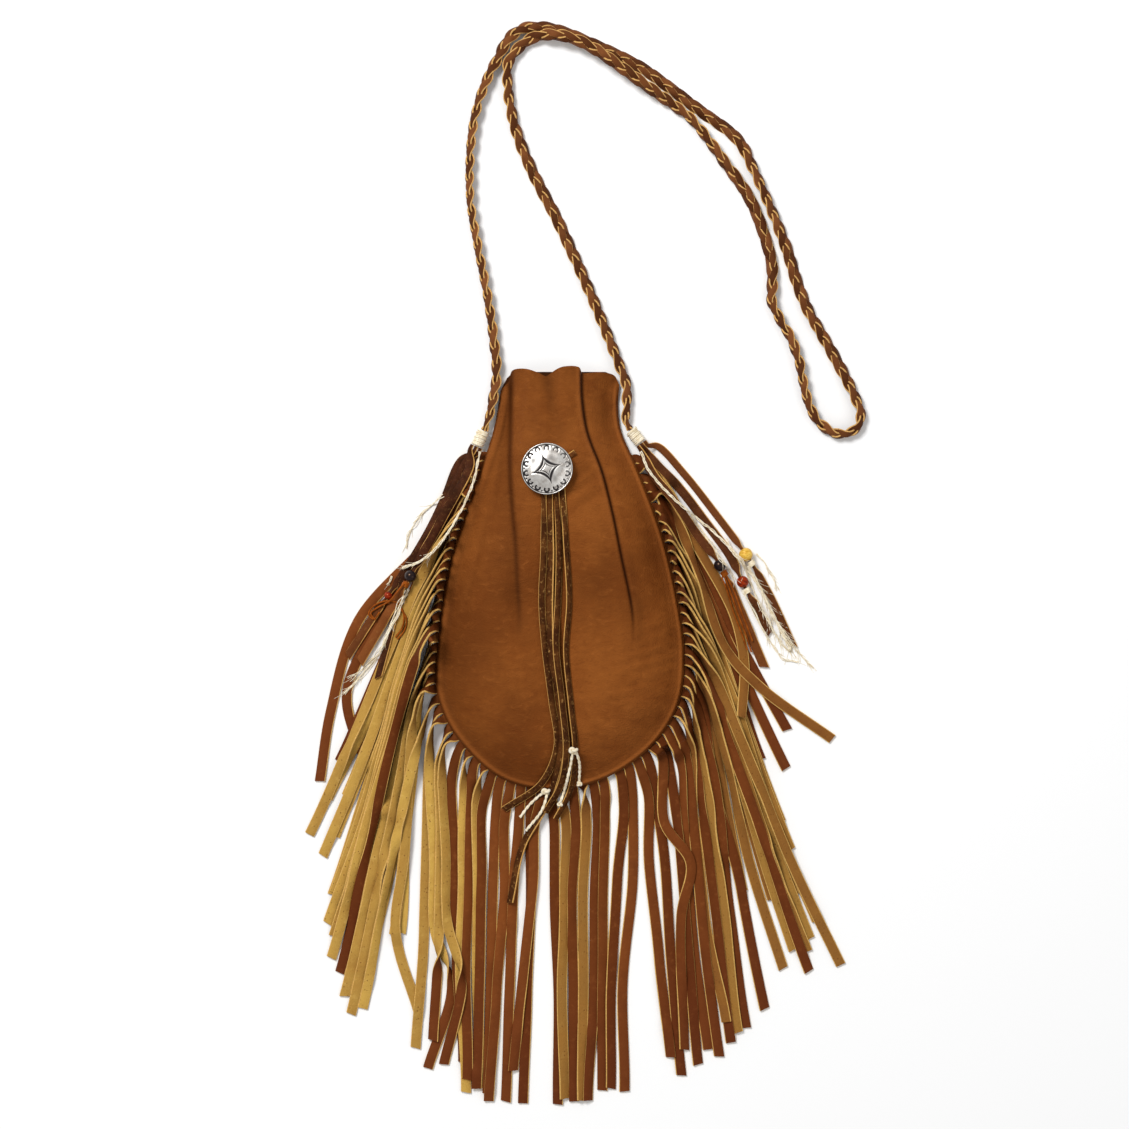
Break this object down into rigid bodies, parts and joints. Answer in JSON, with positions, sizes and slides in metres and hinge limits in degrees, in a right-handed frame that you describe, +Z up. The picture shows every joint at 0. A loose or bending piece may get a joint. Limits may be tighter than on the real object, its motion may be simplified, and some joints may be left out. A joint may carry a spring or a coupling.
{
  "type": "fringed leather pouch bag",
  "caption": "Soft leather pouch bag with a gathered mouth, long cut fringe, braided strap and a round silver concho, lying on its back.",
  "frame": {"origin": "on the back panel's flat underside, at the middle of the pouch", "axes": "+Z up, out of the front of the pouch; +Y towards the pouch's mouth; +X to the right as seen from the front"},
  "size_m": [0.319, 0.6132, 0.0273],
  "materials": {
    "front_panel": "soft grain",
    "back_panel": "soft grain",
    "fringe_band_left": "suede",
    "fringe_band_right": "suede",
    "strap": "soft grain",
    "left_binding": "waxed thread",
    "right_binding": "waxed thread",
    "concho": "antiqued",
    "concho_tie_left": "sinew",
    "concho_tie_right": "sinew",
    "concho_stub": "dark grain",
    "left_dark_bead": "varnished",
    "left_red_bead": "varnished",
    "right_dark_bead": "varnished",
    "right_red_bead": "varnished",
    "right_yellow_bead": "varnished",
    "left_lace": "lace",
    "left_lace_wrap": "lace",
    "right_lace_wrap": "lace",
    "right_sinew_wrap": "sinew",
    "right_yellow_bead_wrap": "sinew",
    "left_sinew": "sinew",
    "right_sinew": "sinew",
    "concho_thong_1": "dark grain",
    "concho_thong_2": "dark grain",
    "concho_thong_3": "dark grain",
    "concho_thong_4": "dark grain",
    "left_thong_1": "dark grain",
    "left_thong_2": "dark grain",
    "left_thong_3": "dark grain",
    "right_thong_1": "dark grain",
    "right_thong_2": "dark grain",
    "right_thong_3": "dark grain"
  },
  "bodies": {
    "root": {"front_panel": "front_panel", "back_panel": "back_panel", "fringe_band_left": "fringe_band_left", "fringe_band_right": "fringe_band_right", "strap": "strap", "left_binding": "left_binding", "right_binding": "right_binding", "concho": "concho", "concho_tie_left": "concho_tie_left", "concho_tie_right": "concho_tie_right", "concho_stub": "concho_stub", "left_dark_bead": "left_dark_bead", "left_red_bead": "left_red_bead", "right_dark_bead": "right_dark_bead", "right_red_bead": "right_red_bead", "right_yellow_bead": "right_yellow_bead", "left_lace": "left_lace", "left_lace_wrap": "left_lace_wrap", "right_lace_wrap": "right_lace_wrap", "right_sinew_wrap": "right_sinew_wrap", "right_yellow_bead_wrap": "right_yellow_bead_wrap", "left_sinew": "left_sinew", "right_sinew": "right_sinew", "concho_thong_1": "concho_thong_1", "concho_thong_2": "concho_thong_2", "concho_thong_3": "concho_thong_3", "concho_thong_4": "concho_thong_4", "left_thong_1": "left_thong_1", "left_thong_2": "left_thong_2", "left_thong_3": "left_thong_3", "right_thong_1": "right_thong_1", "right_thong_2": "right_thong_2", "right_thong_3": "right_thong_3"}
  },
  "joints": []
}
